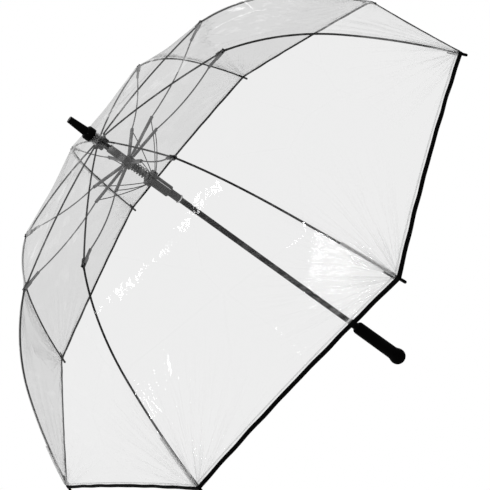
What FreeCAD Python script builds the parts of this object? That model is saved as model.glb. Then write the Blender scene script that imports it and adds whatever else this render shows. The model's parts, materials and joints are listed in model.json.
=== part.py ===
"""Eight-rib automatic stick umbrella with a clear canopy, modelled open.

Millimetres. +Z runs up the shaft towards the ferrule. The origin is on the shaft's axis, in the
middle of the handle. Heights named RISE are measured from the plane of the hem's corners.
Every sector piece is built in the XZ plane, at azimuth 0, and turned to its place.
"""
import FreeCAD, Part
import math
import os

from FreeCAD import Vector

# ---- driving dimensions -------------------------------------------------------------------
RIBS = 8
SECTOR = 360.0 / RIBS

RIM_HEIGHT = 480.0      # plane of the hem's corners, above the centre of the handle
RIM_RADIUS = 590.0      # hem's corners, on the ribs
CROWN_RISE = 317.0      # rib pivots in the crown
PIVOT_RADIUS = 10.5     # wire rings of the crown and of the hub
JOINT_RADIUS = RIM_RADIUS * 309.5 / 590    # where rib, outer rib and stretcher meet
JOINT_RISE = 286.5
BEND_RADIUS = RIM_RADIUS * 474 / 590       # middle of the outer rib
BEND_RISE = 166.0
BEND_SLOPE = 50.0       # degrees below level, at the middle of the outer rib

SHAFT_R = 6.0
SHAFT_WALL = 0.9
SHAFT_FOOT = -20.0      # lower end of the shaft, inside the handle
SHAFT_RISE = 372.0      # upper end of the shaft, inside the ferrule
SLIDE_GAP = 0.3         # between the shaft and what slides on it

CAP_RISE = 340.5        # underside of the domed cap that holds the film down
CAP_R = 13.5
CAP_HEIGHT = 15.5
CAP_ROUND = 4.5
FERRULE_BASE_R = 8.8
FERRULE_TIP_R = 6.6
FERRULE_LENGTH = 37.7
FLUTES = 10
FLUTE_R = 1.0

CROWN_R = 12.5
CROWN_CORE_R = 8.0
CROWN_DEPTH = 6.5       # toothed disc, either side of the pivots
RING_WIRE_R = 0.7
GROOVE_HALF = 0.85
SLOT_WIDTH = 2.6
SLOT_FLOOR_R = 8.2
CROWN_UNDER_FILM = 1.2  # between the crown's core and the film

HUB_R = 13.0
HUB_TUBE_R = 8.0
HUB_TUBE_TOP = 44.0     # above the hub's pivots
HUB_DEPTH = 6.0         # disc below the pivots
HUB_RIM = 5.0           # disc above the pivots
SKIRT_R = 12.2
SKIRT_DEPTH = 11.0      # spring seat of the hub, below its pivots

COLLAR_RISE = 198.5     # strut ends in the lower sleeve
COLLAR_PIVOT_R = 15.5
COLLAR_R = 16.6
COLLAR_HALF = 5.0
COLLAR_SLOT_FLOOR_R = 12.8
COLLAR_SLOT_WIDTH = 3.4
SLEEVE_R = 12.0
SLEEVE_LENGTH = 42.0
SLEEVE_TUBE_R = 8.0
SLEEVE_TUBE_LENGTH = 29.0

SPRING_R = 9.0
SPRING_WIRE_R = 0.9
SPRING_TURNS = 9
HUB_POCKET = 5.0        # depth of the spring seats
SLEEVE_POCKET = 12.0
SPRING_GAP = 0.4

RIB_R = 1.6
RIB_BOW = 6.0
RIB_START = (17.0, 324.5)   # radius and rise of the rib's inner end, above its pivot
OUTER_R = 1.75
EYE_R = 2.0
EYE_THICK = 1.6
RING_PLAY = 0.1
LINK_PIN_R = 0.9
LINK_PIN_PLAY = 0.08
BLOCK_FROM = 14.0       # joint block on the rib, measured back from the joint
BLOCK_TO = 7.0
BLOCK_HALF = 3.0
LUG_HALF = 1.0          # half thickness of the outer rib's lug
LUG_R = 2.4
LUG_LENGTH = 6.0
EAR_GAP = 0.2
RIB_EAR = 1.3           # thickness of the rib's ears
EAR_HALF = 2.6
EAR_REACH = 2.8         # how far ears pass a pivot
CLEVIS_EAR = 1.0
CLEVIS_GAP = 0.3
CLEVIS_ROOT = 15.5
CLEVIS_BACK = 19.0
SOCKET_R = 2.6
SOCKET_FROM = 42.0
HEAD_R = 1.8
HEAD_THICK = 0.7

CHANNEL_WIDTH = 5.5
CHANNEL_WALL = 0.7
CHANNEL_TOP = 1.2
CHANNEL_HEIGHT = 4.6
CHANNEL_FROM = 8.0
CHANNEL_PAST = 7.0
TONGUE_OVERLAP = 5.0
TONGUE_BELOW = 1.6
ROD_R = 1.3
ROD_BOW = 6.0
ROD_OVERLAP = 3.5
STRUT_AT = 83.0         # mid joint, along the stretcher from the hub's pivot
STRUT_DROP = 2.2        # mid joint, below the stretcher's line
STRUT_PIN_R = 0.8
STRUT_EYE_R = 1.7
STRUT_EYE_HALF = 0.9
STRUT_R = 0.9
STRUT_BALL_R = 1.25
STRUT_BOW = 3.0

TIP_R = 2.5
TIP_PAST = 17.0         # how far the tip cap passes the hem's corner
TIP_LENGTH = 26.0
TIP_SOCKET = 17.0
TIP_FIT = 0.05

FILM = 0.3              # film thickness, measured along Z
FILM_INNER_R = 8.9
FILM_RISE = 339.6
FILM_OVER_JOINT = 5.4
FILM_OVER_RIB = 3.6
FILM_BOW = 2.0
FILM_SAG = 6.0          # how far the film hangs inside the straight chord between ribs
FILM_SEAM_GAP = 0.1
FILM_SPAN = 24.0        # where the film is back on the outer rib, after the joint block
HEM_PAST = 4.0          # film edge, past the hem's corner along the rib
HEM_SCALLOP = 5.0       # how far the edge draws back, half way between two ribs

GRIP_R = 14.3
GRIP_LOW_R = 15.0
GRIP_TOP = 80.0
GRIP_FOOT = -75.0
GRIP_ROUND = 5.5
KNOB_R = 18.9
KNOB_WAIST = -38.0
KNOB_WIDEST = -60.0
FOOT_R = 10.0
NECK_R = SHAFT_R + 2.5
NECK_TOP = 101.0
NECK_FOOT = 42.0
NECK_BORE_GAP = 0.05
BUTTON_HEIGHT = 62.0
BUTTON_R = 5.0
BUTTON_HOLE_GAP = 0.3
BUTTON_PROUD = 2.6
BUTTON_TRAVEL = 2.0
BUTTON_SEAT = SHAFT_R + 0.75    # floor of the button's pocket, from the axis
BUTTON_SPRING_THICK = 0.2

PARTS = "parts"
UP = Vector(0, 0, 1)
SIDEWAYS = Vector(0, 1, 0)
CENTRE = Vector(0, 0, 0)


# ---- places in the XZ plane of a sector ----------------------------------------------------
def place(radius, rise):
    """A point (radius, height) from a radius and a rise above the plane of the hem."""
    return (radius, RIM_HEIGHT + rise)


def vec(point, y=0.0):
    return Vector(point[0], y, point[1])


def between(p, q):
    return math.hypot(q[0] - p[0], q[1] - p[1])


class Line:
    """A straight line from one point to another, with distances along it and above it."""

    def __init__(self, start, end):
        self.start = start
        self.length = between(start, end)
        self.along = ((end[0] - start[0]) / self.length, (end[1] - start[1]) / self.length)
        self.above = (-self.along[1], self.along[0])

    def at(self, distance, height=0.0):
        return (
            self.start[0] + self.along[0] * distance + self.above[0] * height,
            self.start[1] + self.along[1] * distance + self.above[1] * height,
        )

    def bar(self, d0, d1, h0, h1, y0, y1):
        corners = [self.at(d0, h0), self.at(d1, h0), self.at(d1, h1), self.at(d0, h1)]
        return plate(corners, y0, y1)

    def ears(self, d0, d1, half_height, inner, thickness):
        left = self.bar(d0, d1, -half_height, half_height, inner, inner + thickness)
        right = self.bar(d0, d1, -half_height, half_height, -inner - thickness, -inner)
        return [left, right]


CROWN_PIVOT = place(PIVOT_RADIUS, CROWN_RISE)
JOINT = place(JOINT_RADIUS, JOINT_RISE)
HUB_RISE = 2 * JOINT_RISE - CROWN_RISE      # equal links keep the hub straight on the shaft
HUB_PIVOT = place(PIVOT_RADIUS, HUB_RISE)
BEND = place(BEND_RADIUS, BEND_RISE)
CORNER = place(RIM_RADIUS, 0.0)
STRETCHER_LINE = Line(HUB_PIVOT, JOINT)
RIB_PAST = TIP_PAST - TIP_LENGTH + TIP_SOCKET   # end of the outer rib, inside its cap
STRUT_PIVOT = STRETCHER_LINE.at(STRUT_AT, -STRUT_DROP)
COLLAR_PIVOT = place(COLLAR_PIVOT_R, COLLAR_RISE)


# ---- solids --------------------------------------------------------------------------------
def plate(points, y0, y1):
    corners = [vec(p, y0) for p in points]
    face = Part.Face(Part.makePolygon(corners + corners[:1]))
    return face.extrude(Vector(0, y1 - y0, 0))


def cross_pin(point, radius, half_width):
    return Part.makeCylinder(radius, 2 * half_width, vec(point, -half_width), SIDEWAYS)


def bowed(p, q, bow):
    """An arc from p to q whose middle stands bow above the straight line."""
    line = Line(p, q)
    middle = line.at(line.length / 2, bow)
    return Part.Arc(vec(p), vec(middle), vec(q)).toShape()


def rod(path, radius):
    """A round rod along a chain of arcs, each one a turned stretch of torus."""
    stretches = []
    for edge in path:
        first = edge.FirstParameter
        section = Part.Circle(edge.valueAt(first), edge.tangentAt(first), radius)
        face = Part.Face(Part.Wire(section.toShape()))
        turn = math.degrees(edge.LastParameter - first)
        stretches.append(face.revolve(edge.Curve.Center, edge.Curve.Axis, turn))
    if len(stretches) == 1:
        return stretches[0]
    return joined(stretches)


def ring(outer, inner, low, high):
    tube = Part.makeCylinder(outer, high - low, Vector(0, 0, low))
    return tube.cut(Part.makeCylinder(inner, high - low, Vector(0, 0, low)))


def turned(profile):
    """A solid of revolution from the edges of a closed outline in the XZ plane."""
    face = Part.Face(Part.Wire(profile))
    return face.revolve(CENTRE, UP, 360)


def joined(shapes):
    result = shapes[0].fuse(shapes[1:])
    return result.removeSplitter()


def slots(width, floor_radius, outer_radius, low, high):
    """Radial slots, one on each rib's plane."""
    cutter = Part.makeBox(
        outer_radius - floor_radius, width, high - low, Vector(floor_radius, -width / 2, low)
    )
    return [turned_to(cutter, k) for k in range(RIBS)]


def turned_to(shape, k):
    copy = shape.copy()
    copy.rotate(CENTRE, UP, SECTOR * k)
    return copy


def save(shape, name):
    shape.exportStep(os.path.join(PARTS, name + ".step"))
    print(name, "solids", len(shape.Solids), "valid", shape.isValid())


# ---- shaft, ferrule and crown --------------------------------------------------------------
def shaft():
    return ring(SHAFT_R, SHAFT_R - SHAFT_WALL, SHAFT_FOOT, RIM_HEIGHT + SHAFT_RISE)


def crown_cap():
    low = RIM_HEIGHT + CAP_RISE
    blank = Part.makeCylinder(CAP_R, CAP_HEIGHT, Vector(0, 0, low))
    rim = [e for e in blank.Edges if abs(e.BoundBox.ZMin - low - CAP_HEIGHT) < 1e-6]
    dome = blank.makeFillet(CAP_ROUND, [e for e in rim if e.BoundBox.ZLength < 1e-6])
    return dome.cut(Part.makeCylinder(SHAFT_R, CAP_HEIGHT, Vector(0, 0, low)))


def ferrule():
    low = RIM_HEIGHT + CAP_RISE + CAP_HEIGHT
    body = Part.makeCone(FERRULE_BASE_R, FERRULE_TIP_R, FERRULE_LENGTH, Vector(0, 0, low))
    foot = Vector(FERRULE_BASE_R + FLUTE_R / 2, 0, low + FLUTE_R)
    head = Vector(FERRULE_TIP_R + FLUTE_R / 2, 0, low + FERRULE_LENGTH)
    groove = Part.makeCylinder(FLUTE_R, 2 * FERRULE_LENGTH, foot, head - foot)
    for k in range(FLUTES):
        flute = groove.copy()
        flute.rotate(CENTRE, UP, 360.0 * k / FLUTES)
        body = body.cut(flute)
    socket = RIM_HEIGHT + SHAFT_RISE - low
    return body.cut(Part.makeCylinder(SHAFT_R, socket, Vector(0, 0, low)))


def crown():
    pivot = RIM_HEIGHT + CROWN_RISE
    low = pivot - CROWN_DEPTH
    high = pivot + CROWN_DEPTH
    top = RIM_HEIGHT + FILM_RISE - CROWN_UNDER_FILM
    disc = ring(CROWN_R, SHAFT_R, low, high)
    core = ring(CROWN_CORE_R, SHAFT_R, low, top)
    groove = ring(CROWN_R, PIVOT_RADIUS - GROOVE_HALF, pivot - GROOVE_HALF, pivot + GROOVE_HALF)
    body = joined([disc, core])
    return body.cut([groove] + slots(SLOT_WIDTH, SLOT_FLOOR_R, CROWN_R + 1, low, high))


def wire_ring(rise):
    return Part.makeTorus(PIVOT_RADIUS, RING_WIRE_R, Vector(0, 0, RIM_HEIGHT + rise))


# ---- hub, sleeve and spring ----------------------------------------------------------------
def hub():
    pivot = RIM_HEIGHT + HUB_RISE
    bore = SHAFT_R + SLIDE_GAP
    disc = ring(HUB_R, bore, pivot - HUB_DEPTH, pivot + HUB_RIM)
    tube = ring(HUB_TUBE_R, bore, pivot - HUB_DEPTH, pivot + HUB_TUBE_TOP)
    skirt = ring(SKIRT_R, bore, pivot - SKIRT_DEPTH, pivot - HUB_DEPTH)
    seat = ring(SPRING_R + SPRING_WIRE_R + SPRING_GAP, bore,
                pivot - SKIRT_DEPTH, pivot - SKIRT_DEPTH + HUB_POCKET)
    groove = ring(HUB_R, PIVOT_RADIUS - GROOVE_HALF, pivot - GROOVE_HALF, pivot + GROOVE_HALF)
    slot_floor = pivot - EYE_R - RING_PLAY - SLIDE_GAP
    cuts = slots(SLOT_WIDTH, SLOT_FLOOR_R, HUB_R + 1, slot_floor, pivot + HUB_RIM)
    return joined([disc, tube, skirt]).cut([seat, groove] + cuts)


def sleeve():
    pivot = RIM_HEIGHT + COLLAR_RISE
    bore = SHAFT_R + SLIDE_GAP
    top = pivot + COLLAR_HALF
    body_top = pivot - COLLAR_HALF
    body_foot = body_top - SLEEVE_LENGTH
    collar = ring(COLLAR_R, bore, body_top, top)
    body = ring(SLEEVE_R, bore, body_foot, body_top)
    tube = ring(SLEEVE_TUBE_R, bore, body_foot - SLEEVE_TUBE_LENGTH, body_foot)
    seat = ring(SPRING_R + SPRING_WIRE_R + SPRING_GAP, bore, top - SLEEVE_POCKET, top)
    cuts = slots(COLLAR_SLOT_WIDTH, COLLAR_SLOT_FLOOR_R, COLLAR_R + 1, body_top, top)
    return joined([collar, body, tube]).cut([seat] + cuts)


def spring():
    low = RIM_HEIGHT + COLLAR_RISE + COLLAR_HALF - SLEEVE_POCKET + SPRING_WIRE_R + SPRING_GAP / 2
    high = RIM_HEIGHT + HUB_RISE - SKIRT_DEPTH + HUB_POCKET - SPRING_WIRE_R - SPRING_GAP / 2
    helix = Part.makeHelix((high - low) / SPRING_TURNS, high - low, SPRING_R)
    section = Part.Circle(Vector(SPRING_R, 0, 0), SIDEWAYS, SPRING_WIRE_R).toShape()
    coil = Part.Wire(helix).makePipeShell([Part.Wire(section)], True, True)
    coil.translate(Vector(0, 0, low))
    return coil


# ---- one sector ----------------------------------------------------------------------------
def eye(point, radius, half_width):
    return cross_pin(point, radius, half_width)


def rib_inner():
    start = place(*RIB_START)
    line = Line(start, JOINT)
    neck = Line(CROWN_PIVOT, start)
    tongue = neck.bar(0, neck.length + 1, -EYE_R, EYE_R, -EYE_THICK / 2, EYE_THICK / 2)
    tube = rod([bowed(start, line.at(line.length - BLOCK_TO - 1), RIB_BOW)], RIB_R)
    ear_inner = LUG_HALF + EAR_GAP
    block = line.bar(line.length - BLOCK_FROM, line.length - BLOCK_TO,
                     -BLOCK_HALF, BLOCK_HALF, -ear_inner - RIB_EAR, ear_inner + RIB_EAR)
    ears = line.ears(line.length - BLOCK_TO, line.length + EAR_REACH, EAR_HALF, ear_inner, RIB_EAR)
    body = joined([eye(CROWN_PIVOT, EYE_R, EYE_THICK / 2), tongue, tube, block] + ears)
    body = body.cut(cross_pin(CROWN_PIVOT, RING_WIRE_R + RING_PLAY, EYE_THICK))
    body = body.cut(cross_pin(JOINT, LINK_PIN_R + LINK_PIN_PLAY, 2 * BLOCK_HALF))
    return Part.makeCompound([body, joint_rivet()])


def joint_rivet():
    """Pin through the rib's ears, the outer rib's lug and the stretcher's clevis."""
    seat = LUG_HALF + EAR_GAP + RIB_EAR + CLEVIS_GAP + CLEVIS_EAR + CLEVIS_GAP
    shank = cross_pin(JOINT, LINK_PIN_R, seat + HEAD_THICK / 2)
    head = Part.makeCylinder(HEAD_R, HEAD_THICK, vec(JOINT, seat), SIDEWAYS)
    other = Part.makeCylinder(HEAD_R, HEAD_THICK, vec(JOINT, -seat - HEAD_THICK), SIDEWAYS)
    return joined([shank, head, other])


def outer_path(offset, start_from, end_past):
    """The outer rib's two arcs, shifted outwards by offset.

    They start start_from after the joint and end end_past after the hem's corner.
    """
    slope = math.radians(BEND_SLOPE)
    out = (math.sin(slope), math.cos(slope))
    bend = (BEND[0] + out[0] * offset, BEND[1] + out[1] * offset)
    first = Line(JOINT, BEND)
    second = Line(BEND, CORNER)
    first_half = slope - math.atan2(-first.along[1], first.along[0])
    second_half = math.atan2(-second.along[1], second.along[0]) - slope
    start = arc_point(first, first_half, offset, start_from / first.length)
    end = arc_point(second, second_half, offset, 1 + end_past / second.length)
    upper = Part.Arc(vec(start), vec(arc_point(first, first_half, offset, 0.5)), vec(bend))
    lower = Part.Arc(vec(bend), vec(arc_point(second, second_half, offset, 0.5)), vec(end))
    return [upper.toShape(), lower.toShape()]


def arc_point(chord, half_angle, offset, share):
    """A point on the arc over a chord, at a share of its turn, shifted outwards by offset."""
    radius = chord.length / 2 / math.sin(half_angle)
    centre = chord.at(chord.length / 2, -radius * math.cos(half_angle))
    angle = half_angle * (2 * share - 1)
    reach = radius + offset
    return (
        centre[0] + reach * (chord.along[0] * math.sin(angle) + chord.above[0] * math.cos(angle)),
        centre[1] + reach * (chord.along[1] * math.sin(angle) + chord.above[1] * math.cos(angle)),
    )


def rib_outer():
    path = outer_path(0.0, LUG_LENGTH, RIB_PAST)
    start = (path[0].Vertexes[0].Point.x, path[0].Vertexes[0].Point.z)
    line = Line(JOINT, start)
    lug = line.bar(0, line.length + 3, -OUTER_R, OUTER_R, -LUG_HALF, LUG_HALF)
    body = joined([eye(JOINT, LUG_R, LUG_HALF), lug, rod(path, OUTER_R)])
    return body.cut(cross_pin(JOINT, LINK_PIN_R + LINK_PIN_PLAY, 2 * LUG_HALF))


def tip_cap():
    """A round-nosed cap on the end of the outer rib."""
    seated = outer_path(0.0, LUG_LENGTH, RIB_PAST)[1]
    heading = seated.tangentAt(seated.LastParameter)
    rib_end = seated.valueAt(seated.LastParameter)
    foot = rib_end - heading * TIP_SOCKET
    body = Part.makeCylinder(TIP_R, TIP_LENGTH - TIP_R, foot, heading)
    nose = Part.makeSphere(TIP_R, foot + heading * (TIP_LENGTH - TIP_R))
    return joined([body, nose]).cut(rod([seated], OUTER_R + TIP_FIT))


def stretcher():
    line = STRETCHER_LINE
    end = STRUT_AT + CHANNEL_PAST
    half = CHANNEL_WIDTH / 2
    bottom = CHANNEL_TOP - CHANNEL_HEIGHT
    tongue = line.bar(0, CHANNEL_FROM + TONGUE_OVERLAP, -TONGUE_BELOW, CHANNEL_TOP,
                      -EYE_THICK / 2, EYE_THICK / 2)
    channel = line.bar(CHANNEL_FROM, end, bottom, CHANNEL_TOP, -half, half)
    hollow = line.bar(CHANNEL_FROM - 1, end + 1, bottom - 1, CHANNEL_TOP - CHANNEL_WALL,
                      -half + CHANNEL_WALL, half - CHANNEL_WALL)
    rod_start = line.at(end - ROD_OVERLAP, CHANNEL_TOP - CHANNEL_WALL - ROD_R + 0.2)
    socket_start = line.at(line.length - SOCKET_FROM + 2)
    wire = rod([bowed(rod_start, socket_start, -ROD_BOW)], ROD_R)
    socket = Part.makeCylinder(SOCKET_R, SOCKET_FROM - CLEVIS_ROOT - 1,
                               vec(line.at(line.length - SOCKET_FROM)),
                               Vector(line.along[0], 0, line.along[1]))
    inner = LUG_HALF + EAR_GAP + RIB_EAR + CLEVIS_GAP
    root = line.bar(line.length - CLEVIS_BACK, line.length - CLEVIS_ROOT,
                    -EAR_HALF, EAR_HALF, -inner - CLEVIS_EAR, inner + CLEVIS_EAR)
    ears = line.ears(line.length - CLEVIS_ROOT, line.length + EAR_REACH, EAR_HALF, inner, CLEVIS_EAR)
    shell = channel.cut(hollow)
    body = joined([shell, eye(HUB_PIVOT, EYE_R, EYE_THICK / 2), tongue, wire, socket, root] + ears)
    body = body.cut(cross_pin(HUB_PIVOT, RING_WIRE_R + RING_PLAY, EYE_THICK))
    body = body.cut(cross_pin(JOINT, LINK_PIN_R + LINK_PIN_PLAY, 2 * inner))
    body = body.cut(cross_pin(STRUT_PIVOT, STRUT_PIN_R, CHANNEL_WIDTH))
    return Part.makeCompound([body, strut_rivet()])


def strut_rivet():
    seat = CHANNEL_WIDTH / 2
    shank = cross_pin(STRUT_PIVOT, STRUT_PIN_R, seat + HEAD_THICK)
    head = Part.makeCylinder(HEAD_R - 0.4, HEAD_THICK, vec(STRUT_PIVOT, seat), SIDEWAYS)
    foot = vec(STRUT_PIVOT, -seat - HEAD_THICK)
    return joined([shank, head, Part.makeCylinder(HEAD_R - 0.4, HEAD_THICK, foot, SIDEWAYS)])


def strut():
    wire = rod([bowed(STRUT_PIVOT, COLLAR_PIVOT, STRUT_BOW)], STRUT_R)
    ball = Part.makeSphere(STRUT_BALL_R, vec(COLLAR_PIVOT))
    body = joined([wire, ball, eye(STRUT_PIVOT, STRUT_EYE_R, STRUT_EYE_HALF)])
    return body.cut(cross_pin(STRUT_PIVOT, STRUT_PIN_R + LINK_PIN_PLAY, 2 * STRUT_EYE_HALF))


# ---- canopy --------------------------------------------------------------------------------
def film_line(samples, hem_past):
    """Points of the film over a rib, from the crown to the hem, in (radius, height)."""
    start = place(FILM_INNER_R, FILM_RISE)
    over = place(JOINT_RADIUS, JOINT_RISE + FILM_OVER_JOINT)
    inner = bowed(start, over, FILM_BOW)
    upper, lower = outer_path(FILM_OVER_RIB, FILM_SPAN, hem_past)
    points = []
    for edge in (inner, upper, lower):
        for p in edge.discretize(samples):
            points.append((p.x, p.z))
    return points


def spline(points):
    curve = Part.BSplineCurve()
    curve.approximate(Points=points, DegMax=3, Tolerance=0.05)
    return curve.toShape()


def canopy_panel():
    """Film from half way to the rib on one side to half way on the other, over its rib."""
    samples = 7
    crest = film_line(samples, HEM_PAST)
    valley_source = film_line(samples, HEM_PAST - HEM_SCALLOP)
    half = math.radians(SECTOR / 2)
    valley = []
    for radius, height in valley_source:
        share = (radius - FILM_INNER_R) / (RIM_RADIUS - FILM_INNER_R)
        sag = FILM_SAG * math.sin(math.pi * min(share, 1.0))
        reach = radius * math.cos(half) - sag
        across = reach * math.sin(half) - FILM_SEAM_GAP
        valley.append((reach * math.cos(half), across, height - sag / 2))
    halves = []
    for side in (1, -1):
        edge_a = spline([Vector(r, 0, z) for r, z in crest])
        edge_b = spline([Vector(x, side * y, z) for x, y, z in valley])
        face = Part.makeRuledSurface(edge_a, edge_b)
        halves.append(face.extrude(Vector(0, 0, -FILM)))
    return joined(halves)


# ---- handle --------------------------------------------------------------------------------
def arc_into_upright(start, end):
    """The middle of an arc from start that is upright, along Z, where it reaches end."""
    run = end[0] - start[0]
    climb = end[1] - start[1]
    radius = (run * run + climb * climb) / (2 * run)
    half = math.asin(climb / radius) / 2
    return (end[0] - radius * (1 - math.cos(half)), end[1] - radius * math.sin(half))


def grip():
    foot = [(0, GRIP_FOOT), (FOOT_R, GRIP_FOOT)]
    low_round = arc_into_upright(foot[1], (KNOB_R, KNOB_WIDEST))
    widest = (KNOB_R, KNOB_WIDEST)
    waist = (GRIP_LOW_R, KNOB_WAIST)
    flare = (KNOB_R - 1.6, KNOB_WIDEST + 9)
    shoulder = (GRIP_R, GRIP_TOP - GRIP_ROUND)
    top = (GRIP_R - GRIP_ROUND, GRIP_TOP)
    turn = GRIP_ROUND * (1 - math.sqrt(0.5))
    edges = [
        Part.makeLine(vec(foot[0]), vec(foot[1])),
        Part.Arc(vec(foot[1]), vec(low_round), vec(widest)).toShape(),
        Part.Arc(vec(widest), vec((KNOB_R - 0.4, KNOB_WIDEST + 4.5)), vec(flare)).toShape(),
        Part.Arc(vec(flare), vec((GRIP_LOW_R + 0.6, KNOB_WAIST - 7)), vec(waist)).toShape(),
        Part.makeLine(vec(waist), vec(shoulder)),
        Part.Arc(vec(shoulder), vec((GRIP_R - turn, GRIP_TOP - turn)), vec(top)).toShape(),
        Part.makeLine(vec(top), vec((0, GRIP_TOP))),
        Part.makeLine(vec((0, GRIP_TOP)), vec(foot[0])),
    ]
    body = turned(edges)
    neck_hole = Part.makeCylinder(NECK_R + NECK_BORE_GAP, GRIP_TOP, Vector(0, 0, NECK_FOOT))
    shaft_hole = Part.makeCylinder(SHAFT_R + NECK_BORE_GAP, NECK_FOOT - SHAFT_FOOT,
                                   Vector(0, 0, SHAFT_FOOT))
    return body.cut([neck_hole, shaft_hole, button_pocket(BUTTON_R + BUTTON_HOLE_GAP)])


def button_pocket(radius):
    return Part.makeCylinder(radius, 2 * GRIP_R, Vector(0, BUTTON_SEAT, BUTTON_HEIGHT), SIDEWAYS)


def latch_neck():
    tube = ring(NECK_R, SHAFT_R + NECK_BORE_GAP, NECK_FOOT, NECK_TOP)
    tube = tube.cut(button_pocket(BUTTON_R + BUTTON_HOLE_GAP))
    seat = Vector(0, BUTTON_SEAT + NECK_BORE_GAP, BUTTON_HEIGHT)
    washer = Part.makeCylinder(BUTTON_R - 1, BUTTON_SPRING_THICK, seat, SIDEWAYS)
    hole = Part.makeCylinder(BUTTON_R - 2, BUTTON_SPRING_THICK, seat, SIDEWAYS)
    return Part.makeCompound([tube, washer.cut(hole)])


def button():
    back = BUTTON_SEAT + BUTTON_TRAVEL + 2 * BUTTON_SPRING_THICK
    front = GRIP_R + BUTTON_PROUD
    blank = Part.makeCylinder(BUTTON_R, front - back, Vector(0, back, BUTTON_HEIGHT), SIDEWAYS)
    face_edges = [e for e in blank.Edges if e.BoundBox.YMin > front - 1e-3]
    return blank.makeFillet(1.2, face_edges)


# ---- build ---------------------------------------------------------------------------------
def main():
    os.makedirs("parts", exist_ok=True)
    single = {
        "shaft": shaft(),
        "ferrule": ferrule(),
        "crown_cap": crown_cap(),
        "crown": crown(),
        "crown_ring": wire_ring(CROWN_RISE),
        "hub": hub(),
        "hub_ring": wire_ring(HUB_RISE),
        "sleeve": sleeve(),
        "main_spring": spring(),
        "grip": grip(),
        "latch_neck": latch_neck(),
        "button": button(),
    }
    for name, shape in single.items():
        save(shape, name)
    sector = {
        "rib_inner": rib_inner(),
        "rib_outer": rib_outer(),
        "tip_cap": tip_cap(),
        "stretcher": stretcher(),
        "strut": strut(),
        "canopy_panel": canopy_panel(),
    }
    for name, shape in sector.items():
        for k in range(RIBS):
            save(turned_to(shape, k), "%s_%d" % (name, k + 1))
    print("pivots", CROWN_PIVOT, JOINT, HUB_PIVOT, STRUT_PIVOT, COLLAR_PIVOT)


main()
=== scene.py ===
# %% [markdown]
# # A clear eight-rib stick umbrella
# The frame of this umbrella comes from the CAD model: shaft, crown, hub, ribs, stretchers, struts and
# grip are already there, each on the body that it moves with. This lesson gives them their finishes,
# and makes what a CAD solid can't show well: the clear film with its wrinkles, the black binding along
# the hem, the welded pockets at the rib tips, the pleated film under the cap and the coil spring.

import json
import math

import bpy
import numpy as np
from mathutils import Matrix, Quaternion, Vector


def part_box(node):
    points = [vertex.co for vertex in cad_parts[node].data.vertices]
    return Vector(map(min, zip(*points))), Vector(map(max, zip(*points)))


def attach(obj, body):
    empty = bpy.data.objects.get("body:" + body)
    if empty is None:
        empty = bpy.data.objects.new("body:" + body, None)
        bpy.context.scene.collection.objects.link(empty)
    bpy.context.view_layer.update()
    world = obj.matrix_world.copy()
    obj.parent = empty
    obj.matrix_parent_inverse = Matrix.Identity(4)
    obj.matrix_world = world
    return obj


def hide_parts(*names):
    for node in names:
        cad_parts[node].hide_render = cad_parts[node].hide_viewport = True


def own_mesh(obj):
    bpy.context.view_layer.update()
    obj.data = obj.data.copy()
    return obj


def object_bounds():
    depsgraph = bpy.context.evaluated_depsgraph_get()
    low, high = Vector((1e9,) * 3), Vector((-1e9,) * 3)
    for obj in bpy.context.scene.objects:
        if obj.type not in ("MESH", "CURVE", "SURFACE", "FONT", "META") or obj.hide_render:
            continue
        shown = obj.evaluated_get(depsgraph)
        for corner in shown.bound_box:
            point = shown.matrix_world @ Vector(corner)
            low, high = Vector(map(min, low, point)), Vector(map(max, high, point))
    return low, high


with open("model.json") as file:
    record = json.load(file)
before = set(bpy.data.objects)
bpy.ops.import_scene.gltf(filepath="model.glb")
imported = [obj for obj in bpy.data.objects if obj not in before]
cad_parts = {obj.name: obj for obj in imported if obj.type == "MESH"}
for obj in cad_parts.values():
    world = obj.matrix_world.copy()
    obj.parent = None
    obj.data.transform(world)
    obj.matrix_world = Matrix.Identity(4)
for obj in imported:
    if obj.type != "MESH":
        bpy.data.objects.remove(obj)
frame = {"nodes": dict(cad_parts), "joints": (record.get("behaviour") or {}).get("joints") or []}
cad_box = [list(corner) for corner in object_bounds()]
nodes = frame["nodes"]
joints = {joint["name"]: joint for joint in frame["joints"]}
scene = bpy.context.scene
RIBS = range(1, 9)

# %% [markdown]
# ## The camera and the light
# The umbrella is seen from outside and a little above its rim, with the shaft running down to the
# right. A long lens keeps the far ribs nearly as large as the near ones. The backdrop is white, so the
# clear film reads as a pale grey against it, and the floor only has to be white too. The film shows
# its wrinkles through what it reflects, so small lamps give the glare on the creases. Near the rib
# tips some of that glare is painted into the film as white streaks.

# %% Camera
camera = bpy.data.objects.new("camera", bpy.data.cameras.new("camera"))
scene.collection.objects.link(camera)
camera.data.lens = 63.93
camera.data.sensor_width = 36.0
camera.data.clip_end = 100.0
camera.rotation_mode = "QUATERNION"
camera.location = (-0.2563, -1.6118, 1.2131)
camera.rotation_quaternion = Quaternion((0.7209, 0.491483, 0.2038414, -0.4440679))
scene.camera = camera
scene.view_settings.view_transform = "Standard"
print("camera", [round(x, 3) for x in camera.location])


# %% [markdown]
# ## Writing materials as sums
# A node tree is easier to read as an expression. `Value` wraps a socket and turns `+ - * /` into Math
# nodes, with the reflected forms too. `Finish` holds one material's tree, and its `node` method makes
# every other kind of node: it sets the node's own settings first, then links or fills its sockets.

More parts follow.
